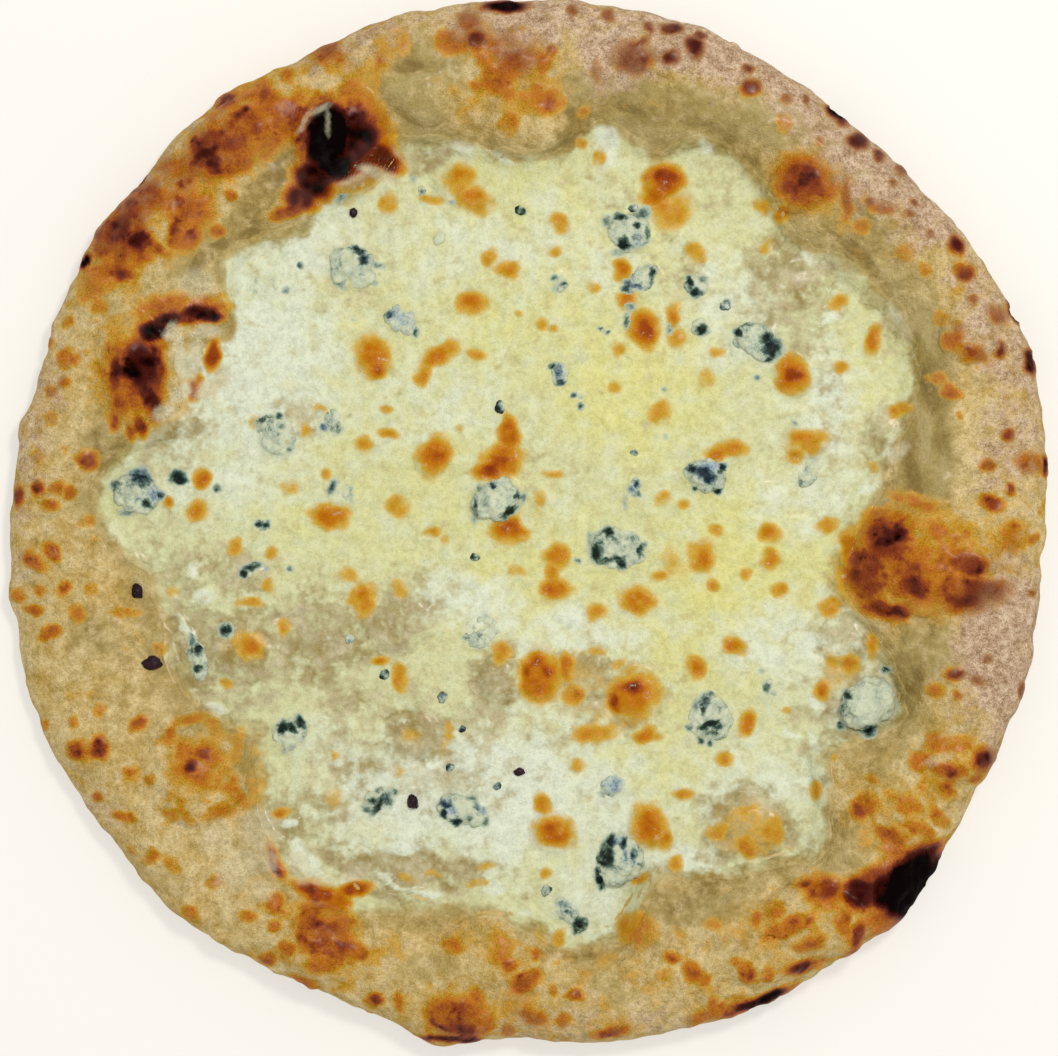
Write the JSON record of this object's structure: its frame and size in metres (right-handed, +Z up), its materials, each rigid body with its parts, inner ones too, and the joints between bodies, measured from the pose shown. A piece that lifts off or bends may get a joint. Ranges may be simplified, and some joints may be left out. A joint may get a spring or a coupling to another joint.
{
  "type": "four cheese pizza",
  "caption": "Whole round pizza with a puffed, blistered rim, a melted layer of white cheeses, browned in spots, and half-sunk crumbles of blue-veined cheese.",
  "frame": {"origin": "middle of the flat underside that the pizza rests on", "axes": "+Z up through the pizza; seen from above +X is right and +Y is away"},
  "size_m": [0.311, 0.3135, 0.0261],
  "materials": {
    "crust": "baked wheat dough, matte, floured, browned and charred in spots",
    "melted_cheese": "melted white cheeses, moist, with browned spots",
    "blue_cheese": "crumbly cream cheese with blue-green veins"
  },
  "bodies": {
    "root": {"crust": "crust", "melted_cheese": "melted_cheese", "blue_cheese_01": "blue_cheese", "blue_cheese_02": "blue_cheese", "blue_cheese_03": "blue_cheese", "blue_cheese_04": "blue_cheese", "blue_cheese_05": "blue_cheese", "blue_cheese_06": "blue_cheese", "blue_cheese_07": "blue_cheese", "blue_cheese_08": "blue_cheese", "blue_cheese_09": "blue_cheese", "blue_cheese_10": "blue_cheese", "blue_cheese_11": "blue_cheese", "blue_cheese_12": "blue_cheese", "blue_cheese_13": "blue_cheese", "blue_cheese_14": "blue_cheese", "blue_cheese_15": "blue_cheese", "blue_cheese_16": "blue_cheese", "blue_cheese_17": "blue_cheese", "blue_cheese_18": "blue_cheese", "blue_cheese_19": "blue_cheese", "blue_cheese_20": "blue_cheese", "blue_cheese_21": "blue_cheese", "blue_cheese_22": "blue_cheese", "blue_cheese_23": "blue_cheese", "blue_cheese_24": "blue_cheese", "blue_cheese_25": "blue_cheese", "blue_cheese_26": "blue_cheese", "blue_cheese_27": "blue_cheese", "blue_cheese_28": "blue_cheese", "blue_cheese_29": "blue_cheese", "blue_cheese_30": "blue_cheese", "blue_cheese_31": "blue_cheese", "blue_cheese_32": "blue_cheese", "blue_cheese_33": "blue_cheese", "blue_cheese_34": "blue_cheese", "blue_cheese_35": "blue_cheese"}
  },
  "joints": []
}
